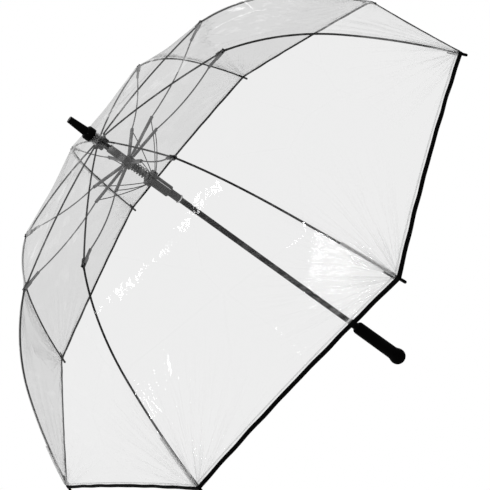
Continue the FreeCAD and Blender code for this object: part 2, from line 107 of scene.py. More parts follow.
# %% Shader helpers
class Value:
    """One output socket of a material's tree, ready for sums."""

    def __init__(self, finish, socket):
        self.finish, self.socket = finish, socket

    def _math(self, operation, first, second=None):
        return self.finish.node("ShaderNodeMath", {"operation": operation}, {0: first, 1: second})

    def __add__(self, other):
        return self._math("ADD", self, other)

    def __sub__(self, other):
        return self._math("SUBTRACT", self, other)

    def __rsub__(self, other):
        return self._math("SUBTRACT", other, self)

    def __mul__(self, other):
        return self._math("MULTIPLY", self, other)

    def __truediv__(self, other):
        return self._math("DIVIDE", self, other)

    def __pow__(self, other):
        return self._math("POWER", self, other)

    __radd__, __rmul__ = __add__, __mul__

    def clip(self, low=0.0, high=1.0):
        """The value held between two limits."""
        return self._math("MAXIMUM", self._math("MINIMUM", self, high), low)


class Finish:
    """A material and its node tree."""

    def __init__(self, name):
        self.material = bpy.data.materials.new(name)
        self.material.use_nodes = True
        self.tree = self.material.node_tree
        self.tree.nodes.clear()
        self.output = self.tree.nodes.new("ShaderNodeOutputMaterial")

    def node(self, kind, settings=None, inputs=None, out=0):
        made = self.tree.nodes.new(kind)
        for key, setting in (settings or {}).items():
            if key == "stops":
                self._stops(made, setting)
            else:
                setattr(made, key, setting)
        for key, given in (inputs or {}).items():
            if isinstance(given, Value):
                self.tree.links.new(given.socket, made.inputs[key])
            elif given is not None:
                made.inputs[key].default_value = given
        return Value(self, made.outputs[out])

    def _stops(self, ramp, stops):
        while len(ramp.color_ramp.elements) < len(stops):
            ramp.color_ramp.elements.new(1.0)
        for element, (place, grey) in zip(ramp.color_ramp.elements, stops):
            element.position = place
            element.color = (grey, grey, grey, 1.0)

    def place(self, stretch=(1, 1, 1)):
        """The point on the piece, in metres, stretched along the axes."""
        point = self.node("ShaderNodeTexCoord", out="Object")
        return self.node("ShaderNodeMapping", {}, {"Vector": point, "Scale": stretch})

    def noise(self, point, scale, detail=3.0, rough=0.55):
        return self.node("ShaderNodeTexNoise", {}, {"Vector": point, "Scale": scale,
                                                    "Detail": detail, "Roughness": rough})

    def ramp(self, value, *stops):
        return self.node("ShaderNodeValToRGB", {"stops": stops}, {"Fac": value})

    def blend(self, factor, first, second):
        """A colour between two colours."""
        return self.node("ShaderNodeMix", {"data_type": "RGBA"},
                         {"Factor": factor, 6: first, 7: second}, out=2)

    def bump(self, height, distance, strength=1.0):
        return self.node("ShaderNodeBump", {}, {"Height": height, "Distance": distance,
                                                "Strength": strength})

    def ends_in(self, shader):
        self.tree.links.new(shader.socket, self.output.inputs["Surface"])
        return self.material

    def principled(self, **sockets):
        named = {key.replace("_", " "): given for key, given in sockets.items()}
        return self.ends_in(self.node("ShaderNodeBsdfPrincipled", {}, named))


def grey(level, tint=(1.0, 1.0, 1.0)):
    return (level * tint[0], level * tint[1], level * tint[2], 1.0)


print("helpers ready")


# %% [markdown]
# ## Metal finishes
# The shaft is a drawn steel tube: its grain runs lengthwise, so the noise is stretched along Z, and
# years of sliding have polished it in patches. The channels and struts are rolled or drawn steel with
# a plated coat that dulls where it has been handled. One function makes all of them, with its grey
# level, its roughness and the direction of the grain as inputs.

# %% Metals
def drawn_metal(name, dark, light, rough, grain=(60, 60, 3)):
    """Plated or drawn metal with a fine grain, dull patches and small scratches."""
    finish = Finish(name)
    lines = finish.noise(finish.place(grain), 14.0, 4.0, 0.6)
    patches = finish.noise(finish.place(), 38.0, 3.0, 0.6)
    specks = finish.noise(finish.place(), 900.0, 2.0, 0.5)
    worn = finish.ramp(patches, (0.42, 0.0), (0.62, 1.0))
    shade = (lines * 0.55 + specks * 0.25 + worn * 0.2).clip()
    colour = finish.blend(shade, grey(dark), grey(light, (1.0, 1.0, 1.02)))
    height = lines * 0.7 + specks * 0.3
    return finish.principled(Base_Color=colour, Metallic=1.0,
                             Roughness=(rough + worn * 0.12 - 0.04 + lines * 0.08).clip(0.05),
                             Normal=finish.bump(height, 0.00005, 0.5))


shaft_steel = drawn_metal("shaft_steel", 0.014, 0.040, 0.36)
rib_steel = drawn_metal("rib_steel", 0.008, 0.024, 0.38, (40, 40, 40))
channel_steel = drawn_metal("channel_steel", 0.10, 0.20, 0.36, (40, 40, 40))
strut_wire = drawn_metal("strut_wire", 0.03, 0.08, 0.34, (40, 40, 40))
spring_wire = drawn_metal("spring_wire", 0.03, 0.10, 0.30, (50, 50, 50))
rivet_steel = drawn_metal("rivet_steel", 0.30, 0.55, 0.30, (20, 20, 20))
print("metals", [m.name for m in (shaft_steel, rib_steel, channel_steel, spring_wire)])


# %% [markdown]
# ## Plastics, rods and rubber
# The ferrule and cap are glossy black mouldings, the hub and sleeve a greyer, duller one with faint
# flow marks, the outer ribs pultruded glass-fibre rods whose fibres run lengthwise, and the handle is
# a soft-touch rubber: nearly black, matt, with a fine leathery bump and a slight shine where hands
# rub it.

# %% Mouldings, rods and rubber
def moulded(name, dark, light, rough, coat=0.0, shine=0.35):
    """A moulded plastic: fine texture, faint flow marks, scuffs that are duller."""
    finish = Finish(name)
    flow = finish.noise(finish.place((1, 1, 0.3)), 60.0, 4.0, 0.6)
    grain = finish.noise(finish.place(), 1400.0, 2.0, 0.5)
    scuffs = finish.ramp(finish.noise(finish.place((1, 1, 4)), 110.0, 5.0, 0.7),
                         (0.56, 0.0), (0.66, 1.0))
    colour = finish.blend((flow * 0.7 + scuffs * 0.3).clip(), grey(dark), grey(light))
    return finish.principled(Base_Color=colour, Coat_Weight=coat, Coat_Roughness=0.08,
                             Specular_IOR_Level=shine,
                             Roughness=(rough + scuffs * 0.16 + flow * 0.06 - 0.03).clip(0.04),
                             Normal=finish.bump(grain * 0.6 + flow * 0.4, 0.00004, 0.4))


def soft_touch(name):
    """Soft-touch rubber with a fine leathery surface, rubbed smoother in patches."""
    finish = Finish(name)
    cells = finish.node("ShaderNodeTexVoronoi", {"feature": "SMOOTH_F1"},
                        {"Vector": finish.place(), "Scale": 1500.0}, out="Distance")
    rubbed = finish.ramp(finish.noise(finish.place((1, 1, 0.6)), 26.0, 4.0, 0.6),
                         (0.45, 0.0), (0.65, 1.0))
    dust = finish.noise(finish.place(), 420.0, 4.0, 0.7)
    colour = finish.blend((dust * 0.5 + rubbed * 0.3).clip(), grey(0.0003), grey(0.0015))
    return finish.principled(Base_Color=colour, Specular_IOR_Level=0.012,
                             Roughness=(0.62 - rubbed * 0.18 + dust * 0.08).clip(),
                             Normal=finish.bump(cells, 0.00012, 0.35))


def fibre_rod(name):
    """A black glass-fibre rod: fibres along its length, a thin resin skin."""
    finish = Finish(name)
    fibres = finish.noise(finish.place((300, 300, 40)), 6.0, 5.0, 0.65)
    nicks = finish.ramp(finish.noise(finish.place(), 520.0, 3.0, 0.6), (0.60, 0.0), (0.70, 1.0))
    colour = finish.blend((fibres * 0.6 + nicks * 0.4).clip(), grey(0.0003), grey(0.003))
    return finish.principled(Base_Color=colour, Specular_IOR_Level=0.015,
                             Roughness=(0.36 + fibres * 0.14 + nicks * 0.2).clip(),
                             Normal=finish.bump(fibres, 0.00005, 0.4))


gloss_black = moulded("gloss_black", 0.0003, 0.0015, 0.16, shine=0.02)
tip_black = moulded("tip_black", 0.0003, 0.0015, 0.34, shine=0.012)
hub_grey = moulded("hub_grey", 0.030, 0.070, 0.42, shine=0.2)
sleeve_grey = moulded("sleeve_grey", 0.035, 0.085, 0.36, coat=0.08, shine=0.2)
pale_grey = moulded("pale_grey", 0.45, 0.62, 0.35)
neck_black = moulded("neck_black", 0.0003, 0.0015, 0.30, shine=0.015)
button_grey = moulded("button_grey", 0.02, 0.04, 0.35)
handle_rubber = soft_touch("handle_rubber")
rib_rod = fibre_rod("rib_rod")
print("plastics and rubber ready")


# %% [markdown]
# ## Clear film and its black binding
# Clear PVC or POE film is a weak mirror in front of a faint grey pane. A Transparent shader gives the
# pane, with a slight grey tint, and a darker one where the film is seen edge-on and is thicker to look
# through. A Glossy shader over it takes over by the Fresnel law, more in some patches and streaks than
# between them. Its normal comes from creases that fan out from the rib tips and from long soft folds,
# so the lamps break up in it. Near each tip a little white Translucent shader is mixed in along the
# creases and beside the rib: this is painted glare, white streaks that stand in for lamp reflections.
# Along pressed creases the same white gives the film a faint milkiness of its own. The film is the same
# from both sides. Each film piece carries an attribute with the distance and the angle from its rib
# tip, and its place across the gore, so that the wrinkles follow the cloth and not the room.

# %% Film and binding
def clear_film(name):
    """Clear film: a grey pane, darker edge-on, a weak mirror, and painted glare streaks at the tips."""
    finish = Finish(name)
    spread = finish.node("ShaderNodeAttribute", {"attribute_name": "tip_fan"}, out="Vector")
    parts = finish.node("ShaderNodeSeparateXYZ", {}, {"Vector": spread})
    away, turn, across = (Value(finish, parts.socket.node.outputs[i]) for i in range(3))
    near_tip = finish.ramp(away / 0.30, (0.0, 1.0), (0.25, 0.62), (1.0, 0.0))
    fan = finish.node("ShaderNodeCombineXYZ", {}, {0: turn * 9.0, 1: away * 5.0, 2: 0.37})
    creases = finish.node("ShaderNodeTexNoise", {}, {"Vector": fan, "Scale": 1.6, "Detail": 4.0,
                                                     "Roughness": 0.6, "Distortion": 0.25})
    folds = finish.noise(finish.place(), 5.0, 3.0, 0.5)
    ripples = finish.noise(finish.place((1, 1, 0.45)), 34.0, 3.0, 0.55)
    packed = finish.node("ShaderNodeTexVoronoi", {"feature": "DISTANCE_TO_EDGE"},
                         {"Vector": finish.place((1, 1, 0.7)), "Scale": 7.0}, out="Distance")
    pressed = finish.ramp(packed, (0.0, 1.0), (0.016, 0.0))
    by_rib = finish.ramp(across, (0.0, 1.0), (0.05, 0.4), (0.16, 0.0))
    height = creases * near_tip * 0.8 + folds * 0.55 + ripples * 0.10 + pressed * 0.04
    normal = finish.bump(height, 0.010, 0.75)
    fresnel = finish.node("ShaderNodeFresnel", {}, {"IOR": 1.5, "Normal": normal})
    facing = finish.node("ShaderNodeLayerWeight", {}, {"Blend": 0.5}, out="Facing")
    # Painted glare near the tips: white along the creases here and beside the rib on the next line; the
    # pressed creases add the film's own faint milkiness.
    painted_glare_streaks = finish.ramp(creases, (0.47, 0.0), (0.62, 1.0)) * near_tip ** 3.0 * 0.8
    painted_glare_and_milkiness = painted_glare_streaks + by_rib * near_tip ** 2.0 * 0.12 + pressed * 0.02
    pane = finish.node("ShaderNodeBsdfTransparent", {}, {"Color": grey(0.85)})
    edge_on = finish.node("ShaderNodeBsdfTransparent", {}, {"Color": grey(0.60)})
    thick = finish.node("ShaderNodeMixShader", {}, {0: (facing ** 8.0) * 0.4, 1: pane, 2: edge_on})
    glints = finish.ramp(finish.noise(finish.place((1.0, 1.0, 2.2)), 26.0, 3.0, 0.6),
                         (0.54, 0.0), (0.66, 1.0))
    streaks = finish.ramp(creases, (0.46, 0.0), (0.60, 1.0)) * near_tip
    glints = (glints * 0.7 + streaks).clip(0.0, 1.0)
    mirror = finish.node("ShaderNodeBsdfAnisotropic", {}, {"Color": grey(1.0), "Roughness": 0.05,
                                                           "Normal": normal})
    mirror_share = (fresnel * (0.45 + glints * 1.3)).clip(0.0, 0.6)
    gloss = finish.node("ShaderNodeMixShader", {}, {0: mirror_share, 1: thick, 2: mirror})
    white = finish.node("ShaderNodeBsdfTranslucent", {}, {"Color": grey(0.95), "Normal": normal})
    return finish.ends_in(finish.node("ShaderNodeMixShader", {}, {0: painted_glare_and_milkiness.clip(0.0, 0.6),
                                                                  1: gloss, 2: white}))


def binding(name):
    """Black welded tape along the hem: smooth, slightly rippled, with a fine emboss."""
    finish = Finish(name)
    emboss = finish.noise(finish.place(), 1100.0, 2.0, 0.5)
    ripple = finish.noise(finish.place(), 70.0, 3.0, 0.6)
    colour = finish.blend((emboss * 0.5 + ripple * 0.5).clip(), grey(0.0003), grey(0.0015))
    return finish.principled(Base_Color=colour, Specular_IOR_Level=0.012,
                             Roughness=(0.40 + ripple * 0.2).clip(),
                             Normal=finish.bump(emboss * 0.3 + ripple * 0.7, 0.0004, 0.35))


def welded_film(name):
    """Film that is welded or gathered: milky, finely wrinkled, and still half clear."""
    finish = Finish(name)
    wrinkles = finish.noise(finish.place((1, 1, 0.5)), 190.0, 4.0, 0.6)
    patches = finish.noise(finish.place(), 60.0, 2.0, 0.5)
    milk = finish.node("ShaderNodeBsdfTranslucent", {},
                       {"Color": grey(0.97), "Normal": finish.bump(wrinkles, 0.002, 0.6)})
    pane = finish.node("ShaderNodeBsdfTransparent", {}, {"Color": grey(0.93)})
    share = (wrinkles * 0.8 + patches * 0.4 - 0.16).clip(0.15, 0.75)
    return finish.ends_in(finish.node("ShaderNodeMixShader", {}, {0: share, 1: pane, 2: milk}))


film = clear_film("film")
weld_white = welded_film("weld_white")
hem_black = binding("hem_black")
print("film and binding ready")


# %% [markdown]
# ## The film's line over a rib
# Every half gore hangs from the same line: out from under the cap with a slight crown, over the joint
# of the rib, and down the curve of the outer rib to the hem. The line is made once, in the plane of
# a rib, as radius and height. Its long arcs are the ones that the ribs bend to, and the corner that
# they would meet in at the joint is rounded off, as taut film does.

# %% The rib line
def arc(start, end, rise, count):
    """Points on the arc from start to end that rises above its chord by rise."""
    start, end = np.array(start, float), np.array(end, float)
    chord = end - start
    length = np.linalg.norm(chord)
    along = chord / length
    above = np.array((-along[1], along[0]))
    radius = (length ** 2 / 4 + rise ** 2) / (2 * rise)
    half = math.asin(length / 2 / radius)
    turn = np.linspace(-half, half, count)[:, None]
    middle = (start + end) / 2 + above * (rise - radius)
    return middle + radius * (np.sin(turn) * along + np.cos(turn) * above)


joint_place = joints["rib_flex_1"]["pos_m"]
JOINT = (joint_place[0], joint_place[2])
CORNER = (0.590, 0.480)
BEND = (0.474, 0.646)
CROWN = (0.0105, 0.8190)
OVER_RIB = 0.0030
HEM_PAST = 0.0035
SCALLOP = 0.0045
bend_turn = math.radians(50.0)


def arc_over(first, last, turn_of, count):
    """The arc of the outer rib over a chord, when its middle slope is known."""
    chord = np.subtract(last, first)
    slope = math.atan2(-chord[1], chord[0])
    half = abs(turn_of - slope)
    return arc(first, last, np.linalg.norm(chord) / 2 * math.tan(half / 2), count)


def offset(points, gap):
    """The line moved outwards by gap."""
    run = np.gradient(points, axis=0)
    run /= np.linalg.norm(run, axis=1)[:, None]
    return points + gap * np.stack([-run[:, 1], run[:, 0]], 1)


outer_line = np.vstack([arc_over(JOINT, BEND, bend_turn, 60)[:-1], arc_over(BEND, CORNER, bend_turn, 60)])
last_step = outer_line[-1] - outer_line[-2]
outer_line = np.vstack([outer_line, CORNER + last_step / np.linalg.norm(last_step) * HEM_PAST])
inner_line = arc(CROWN, (JOINT[0] - 0.006, JOINT[1] + 0.0052), 0.0020, 60)
raw = np.vstack([inner_line[:-1], offset(outer_line, OVER_RIB)[8:]])
steps = np.r_[0, np.cumsum(np.linalg.norm(np.diff(raw, axis=0), axis=1))]
even = np.linspace(0, steps[-1], 1201)
line = np.stack([np.interp(even, steps, raw[:, i]) for i in (0, 1)], 1)
soft = np.pad(line, ((24, 24), (0, 0)), mode="edge")
smooth = np.stack([np.convolve(soft[:, i], np.ones(49) / 49, "valid") for i in (0, 1)], 1)
fade = np.clip(np.minimum(even, even[-1] - even) / 0.06, 0, 1)[:, None]
line = line * (1 - fade) + smooth * fade
LINE_LENGTH = float(steps[-1])
JOINT_SHARE = float(np.interp(JOINT[0], line[:, 0], even)) / LINE_LENGTH
print("film line", round(LINE_LENGTH, 4), "m, joint at", round(JOINT_SHARE, 3))


# %% [markdown]
# ## One half gore
# The film between two ribs is one gore. It is taut, so it runs nearly straight from rib to rib, and
# hangs a few millimetres inside that straight line. When the umbrella folds, half of it goes with each
# rib, so the surface is made in halves that meet exactly on the middle of the gore, and each half in
# two lengths, because the rib folds at its joint. The halves are still one smooth sheet: the same
# function gives the place of every point, and its wrinkles fade out towards the lines where the
# lengths meet. A gore's slack gathers towards the rib tips, so the folds fan out from there.

# %% Surface of the film
SAG = 0.006
HALF_TURN = math.pi / len(RIBS)


def line_at(share):
    place = np.clip(share, 0, 1) * LINE_LENGTH
    return np.interp(place, even, line[:, 0]), np.interp(place, even, line[:, 1])


def fan(share, across, reach):
    """Distance from the rib's tip along the film, and the angle away from the rib."""
    down = (1 - share) * LINE_LENGTH
    sideways = across * 2 * reach * math.sin(HALF_TURN)
    return np.hypot(down, sideways), np.arctan2(sideways, np.maximum(down, 1e-6))


def film_points(share, across, side):
    """Points of the film beside the rib at azimuth 0. across is 0 on the rib, 0.5 half way to the next."""
    drawn = 1 - (SCALLOP / LINE_LENGTH) * 4 * across * (1 - across)
    share = share * drawn
    radius, height = line_at(share)
    ahead = radius * (1 - across + across * math.cos(2 * HALF_TURN))
    aside = radius * across * math.sin(2 * HALF_TURN)
    slack = 4 * across * (1 - across)
    sag = SAG * np.sin(math.pi * share) * slack
    away, turn = fan(share, across, radius)
    rim = np.clip((1 - share) * LINE_LENGTH / 0.02, 0, 1)
    tuck = np.clip(across / 0.06, 0, 1) * np.clip((0.5 - across) / 0.12, 0, 1)
    folds = np.sin(turn * 21 + 1.3 * np.sin(turn * 5)) * np.exp(-away / 0.11) * 0.0016
    folds = folds + np.sin(turn * 37 + 2.1) * np.exp(-away / 0.06) * 0.0006
    puffs = 0.0011 * np.sin(radius * 21 + 2.0) * np.sin(across * 2 * math.pi) ** 2
    puffs = puffs * np.sin(math.pi * share)
    lift = folds * tuck * rim + puffs - sag
    inward = np.array((math.cos(HALF_TURN), math.sin(HALF_TURN)))
    x = ahead + lift * inward[0]
    y = (aside + lift * inward[1]) * side
    return np.stack([x, y, height + lift * 0.5], -1), away, turn


def turned(points, azimuth):
    c, s = math.cos(azimuth), math.sin(azimuth)
    x, y, z = np.moveaxis(points, -1, 0)
    return np.stack([x * c - y * s, x * s + y * c, z], -1)


def azimuth_of(rib):
    return math.radians(45.0 * (rib - 1))


print("half gore at the hem", np.round(film_points(np.array(1.0), np.array(0.5), 1)[0], 4))


# %% [markdown]
# A grid mesh is made straight from the points: faces run across and along, wound so that they point
# outwards on both sides of the rib. The fan distances go in as a point attribute for the film
# material.

# %% Grid meshes
def grid_piece(name, points, material, outward_flip, facts=None):
    """A mesh of rows by columns of points, in the row frame."""
    rows, columns = points.shape[:2]
    index = np.arange(rows * columns).reshape(rows, columns)
    quads = np.stack([index[:-1, :-1], index[:-1, 1:], index[1:, 1:], index[1:, :-1]], -1)
    quads = quads.reshape(-1, 4)
    if outward_flip:
        quads = quads[:, ::-1]
    mesh = bpy.data.meshes.new(name)
    mesh.from_pydata(points.reshape(-1, 3).tolist(), [], quads.tolist())
    mesh.shade_smooth()
    if facts is not None:
        attribute = mesh.attributes.new("tip_fan", "FLOAT_VECTOR", "POINT")
        attribute.data.foreach_set("vector", facts.astype(np.float32).ravel())
    mesh.materials.append(material)
    piece = bpy.data.objects.new(name, mesh)
    scene.collection.objects.link(piece)
    return piece


def flat_area(points):
    a, b = points[1:, 1:] - points[:-1, :-1], points[1:, :-1] - points[:-1, 1:]
    return float(np.linalg.norm(np.cross(a, b), axis=-1).sum() / 2)


# %% [markdown]
# ## Folding
# Each half gore would flatten against its rib as the umbrella closes, to a few hundredths of its width.
# The direction it would flatten in is the cloth's own width: the line towards the next rib, less
# whatever of it lies along the rib. The pleats beside the outer ribs would also lean outwards a little,
# which makes them cross the inner ribs less; next to the joint they would still cross them. So the
# closed film would lie in narrow pleats beside the ribs, and not reach through the shaft. That
# direction is worked out here, but no piece is flattened along it: each only gets its own mesh.

# %% Fold direction and film pieces
LEAN = math.radians(4.0)        # the pleats beside an outer rib lean outwards by this much
PLEAT_GAP = 0.016               # how far outside the joint the outer pleats gather


def fold_axis(start, end, side, azimuth, lean):
    """The width of a half gore, square to the rib's chord from start to end, leaning inwards."""
    along = np.array((end[0] - start[0], 0.0, end[1] - start[1]))
    along /= np.linalg.norm(along)
    to_next = np.array((-math.sin(HALF_TURN), side * math.cos(HALF_TURN), 0.0))
    width = to_next - to_next.dot(along) * along
    width /= np.linalg.norm(width)
    outwards = np.cross(width, along) * side
    outwards *= np.sign(outwards[2])
    return turned(width * math.cos(lean) - outwards * math.sin(lean), azimuth)


def fold_with(piece, lower, side, azimuth):
    """Works out where a piece of the film, or what is on it, is held and which way it would fold, and
    gives it its own mesh; it is not squashed.
    """
    first, last = (JOINT, CORNER) if lower else (CROWN, JOINT)
    held = np.array((JOINT[0], 0.0, JOINT[1]))
    if lower:
        chord = np.subtract(CORNER, JOINT) / np.linalg.norm(np.subtract(CORNER, JOINT))
        held = held + PLEAT_GAP * np.array((-chord[1], 0.0, chord[0]))
    axis = fold_axis(first, last, side, azimuth, LEAN if lower else 0.0)
    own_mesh(piece)


def half_gore(rib, side, lower):
    """One length of film beside a rib."""
    first, last, rows = (JOINT_SHARE, 1.0, 110) if lower else (0.0, JOINT_SHARE, 70)
    share, across = np.meshgrid(np.linspace(first, last, rows), np.linspace(0, 0.5, 56),
                                indexing="ij")
    points, away, turn = film_points(share, across, side)
    facts = np.stack([away, turn, across], -1)
    azimuth = azimuth_of(rib)
    name = f"film_{'outer' if lower else 'inner'}_{rib}_{'a' if side > 0 else 'b'}"
    piece = grid_piece(name, turned(points, azimuth), film, side > 0, facts.reshape(-1, 3))
    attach(piece, f"rib_outer_{rib}" if lower else f"rib_{rib}")
    fold_with(piece, lower, side, azimuth)
    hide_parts(f"canopy_panel_{rib}")
    return piece, flat_area(points), points


film_pieces = {}
for rib in RIBS:
    for side in (1, -1):
        for lower in (True, False):
            film_pieces[rib, side, lower] = half_gore(rib, side, lower)
print("film pieces", len(film_pieces))


# %% [markdown]
# ## The black binding
# A tape folded over the film's edge is a thin strip that follows a path, so Geometry Nodes sweep it:
# the path is the hem of a half gore, with the film's own normal stored on it, and the profile is
# a rounded rectangle. The sweep keeps the strip's flat side on the film by that normal. Width,
# thickness and the ripple of its edge are named inputs, and the same tree makes every length.

# %% Binding tree
def tree_with(name, sockets):
    """A geometry node group with named inputs: (name, kind, value)."""
    tree = bpy.data.node_groups.new(name, "GeometryNodeTree")
    tree.interface.new_socket("Geometry", in_out="INPUT", socket_type="NodeSocketGeometry")
    for label, kind, value in sockets:
        made = tree.interface.new_socket(label, in_out="INPUT", socket_type=kind)
        if value is not None:
            made.default_value = value
    tree.interface.new_socket("Geometry", in_out="OUTPUT", socket_type="NodeSocketGeometry")
    return tree


def geo(tree, kind, settings=None, inputs=None, out=0):
    """A geometry node, its settings first, then its sockets. Gives the chosen output socket."""
    made = tree.nodes.new(kind)
    for key, setting in (settings or {}).items():
        setattr(made, key, setting)
    for key, given in (inputs or {}).items():
        if isinstance(given, bpy.types.NodeSocket):
            tree.links.new(given, made.inputs[key])
        elif given is not None:
            made.inputs[key].default_value = given
    return made.outputs[out]


def grown(name, start_mesh, tree, values, material):
    """Runs a node group on a mesh and keeps the result as a plain mesh object."""
    carrier = bpy.data.objects.new(name + "_path", start_mesh)
    scene.collection.objects.link(carrier)
    modifier = carrier.modifiers.new("grow", "NODES")
    modifier.node_group = tree
    for item in tree.interface.items_tree:
        if item.in_out == "INPUT" and item.name in values:
            modifier[item.identifier] = values[item.name]
        elif item.in_out == "INPUT" and item.name == "Material":
            modifier[item.identifier] = material
    depsgraph = bpy.context.evaluated_depsgraph_get()
    mesh = bpy.data.meshes.new_from_object(carrier.evaluated_get(depsgraph))
    carrier.modifiers.clear()
    bpy.data.objects.remove(carrier)
    mesh.name = name
    mesh.shade_smooth()
    piece = bpy.data.objects.new(name, mesh)
    scene.collection.objects.link(piece)
    return piece


def strip_tree():
    tree = tree_with("folded_tape", [("Width", "NodeSocketFloat", 0.007),
                                     ("Thickness", "NodeSocketFloat", 0.0008),
                                     ("Ripple", "NodeSocketFloat", 0.05),
                                     ("Material", "NodeSocketMaterial", None)])
    given = tree.nodes.new("NodeGroupInput").outputs
    path = geo(tree, "GeometryNodeMeshToCurve", {}, {"Mesh": given["Geometry"]})
    normal = geo(tree, "GeometryNodeInputNamedAttribute", {"data_type": "FLOAT_VECTOR"},
                 {"Name": "film_normal"})
    path = geo(tree, "GeometryNodeSetCurveNormal", {"mode": "FREE"},
               {"Curve": path, "Normal": normal})
    where = geo(tree, "GeometryNodeInputPosition")
    uneven = geo(tree, "ShaderNodeTexNoise", {}, {"Vector": where, "Scale": 30.0, "Detail": 1.0})
    uneven = geo(tree, "ShaderNodeMath", {"operation": "SUBTRACT"}, {0: uneven, 1: 0.5})
    swell = geo(tree, "ShaderNodeMath", {"operation": "MULTIPLY_ADD"},
                {0: uneven, 1: given["Ripple"], 2: 1.0})
    profile = geo(tree, "GeometryNodeCurvePrimitiveQuadrilateral", {"mode": "RECTANGLE"},
                  {"Width": given["Thickness"], "Height": given["Width"]})
    profile = geo(tree, "GeometryNodeFilletCurve", {"mode": "POLY"},
                  {"Curve": profile, "Count": 3, "Radius": 0.00035})
    strip = geo(tree, "GeometryNodeCurveToMesh", {}, {"Curve": path, "Profile Curve": profile,
                                                      "Scale": swell, "Fill Caps": True})
    strip = geo(tree, "GeometryNodeRealizeInstances", {}, {"Geometry": strip})
    strip = geo(tree, "GeometryNodeSetMaterial", {}, {"Geometry": strip,
                                                      "Material": given["Material"]})
    tree.links.new(strip, tree.nodes.new("NodeGroupOutput").inputs[0])
    return tree


folded_tape = strip_tree()
print("tape tree nodes", len(folded_tape.nodes))


# %% [markdown]
# The path of each length of binding lies on the film, half its width in from the edge. It has the
# small waver of a tape that was fed by hand.

# %% Binding on every half gore
TAPE_WIDTH = 0.0070


def surface_normal(points):
    along, sideways = np.gradient(points, axis=0), np.gradient(points, axis=1)
    normal = np.cross(along, sideways)
    return normal / np.linalg.norm(normal, axis=-1)[..., None]


def path_mesh(name, points, normals):
    mesh = bpy.data.meshes.new(name)
    links = [(i, i + 1) for i in range(len(points) - 1)]
    mesh.from_pydata(points.tolist(), links, [])
    stored = mesh.attributes.new("film_normal", "FLOAT_VECTOR", "POINT")
    stored.data.foreach_set("vector", normals.astype(np.float32).ravel())
    return mesh


def hem_length(rib, side):
    across = np.linspace(0, 0.5, 60)
    inset = (TAPE_WIDTH / 2 - 0.0035) / LINE_LENGTH
    waver = 0.0005 / LINE_LENGTH * np.sin(across * 40 + rib) * np.sin(across * 2 * math.pi)
    edge = 1.0 - inset + waver
    rows = np.stack([edge - 0.002, edge], 0)
    points, _, _ = film_points(rows, np.stack([across, across], 0), side)
    normals = surface_normal(points)[1] * side
    azimuth = azimuth_of(rib)
    name = f"hem_{rib}_{'a' if side > 0 else 'b'}"
    start = path_mesh(name, turned(points[1], azimuth), turned(normals, azimuth))
    piece = grown(name, start, folded_tape, {"Width": TAPE_WIDTH, "Thickness": 0.0008,
                                             "Ripple": 0.16}, hem_black)
    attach(piece, f"rib_outer_{rib}")
    fold_with(piece, True, side, azimuth)
    return piece


hems = {(rib, side): hem_length(rib, side) for rib in RIBS for side in (1, -1)}
print("hem lengths", len(hems), "faces in one", len(hems[1, 1].data.polygons))

# %% [markdown]
# ## Welds, pockets and tabs
# Inside the binding runs the weld that holds it, a narrow milky line. Over the end of each rib a strip
# of film is welded on as a pocket, and under the rib a short black tab keeps the tip cap in place.
# All three are strips along a path again, so the binding's tree makes them with other numbers.

# %% Weld, pocket and tab
def strip_on_film(name, down, across, side, lift, sizes, material, azimuth):
    """A strip along points of the film: down is metres from the hem, lift is off the film."""
    edge = 1.0 - down / LINE_LENGTH
    points, _, _ = film_points(np.stack([edge - 0.002, edge], 0), np.stack([across, across], 0), side)
    ahead, _, _ = film_points(np.stack([edge, edge], 0), np.stack([across, across + 0.02], 0), side)
    drop, reach = points[1] - points[0], ahead[1] - ahead[0]
    normals = np.cross(reach, drop) * -side
    normals /= np.linalg.norm(normals, axis=-1)[:, None]
    path = turned(points[1] + lift * normals, azimuth)
    return grown(name, path_mesh(name, path, turned(normals, azimuth)), folded_tape, sizes, material)


welds, pockets, tabs = {}, {}, {}
for rib in RIBS:
    azimuth = azimuth_of(rib)
    for side in (1, -1):
        across = np.linspace(0.012, 0.5, 60)
        weld = strip_on_film(f"weld_{rib}_{'a' if side > 0 else 'b'}", np.full(60, TAPE_WIDTH), across,
                             side, 0.0003, {"Width": 0.0024, "Thickness": 0.0005, "Ripple": 0.5},
                             weld_white, azimuth)
        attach(weld, f"rib_outer_{rib}")
        fold_with(weld, True, side, azimuth)
        welds[rib, side] = weld
    middle = np.zeros(24)
    pockets[rib] = strip_on_film(f"pocket_{rib}", np.linspace(0.098, 0.006, 24), middle, 1, 0.0006,
                                 {"Width": 0.0062, "Thickness": 0.0005, "Ripple": 0.3},
                                 weld_white, azimuth)
    tabs[rib] = strip_on_film(f"tab_{rib}", np.linspace(0.023, 0.004, 24), middle, 1, -0.0062,
                              {"Width": 0.0046, "Thickness": 0.0012, "Ripple": 0.0},
                              hem_black, azimuth)
    for piece, finish_slot in ((pockets[rib], "clear_film"), (tabs[rib], "tip_black")):
        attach(piece, f"rib_outer_{rib}")
print("welds", len(welds), "pockets", len(pockets), "tabs", len(tabs))


# %% [markdown]
# ## Gathered film
# Where the eight gores meet, the film is gathered round the crown under the cap, in fine pleats that
# look whitish. It is a pleated tube: its radius waves round the shaft, more so at its foot.

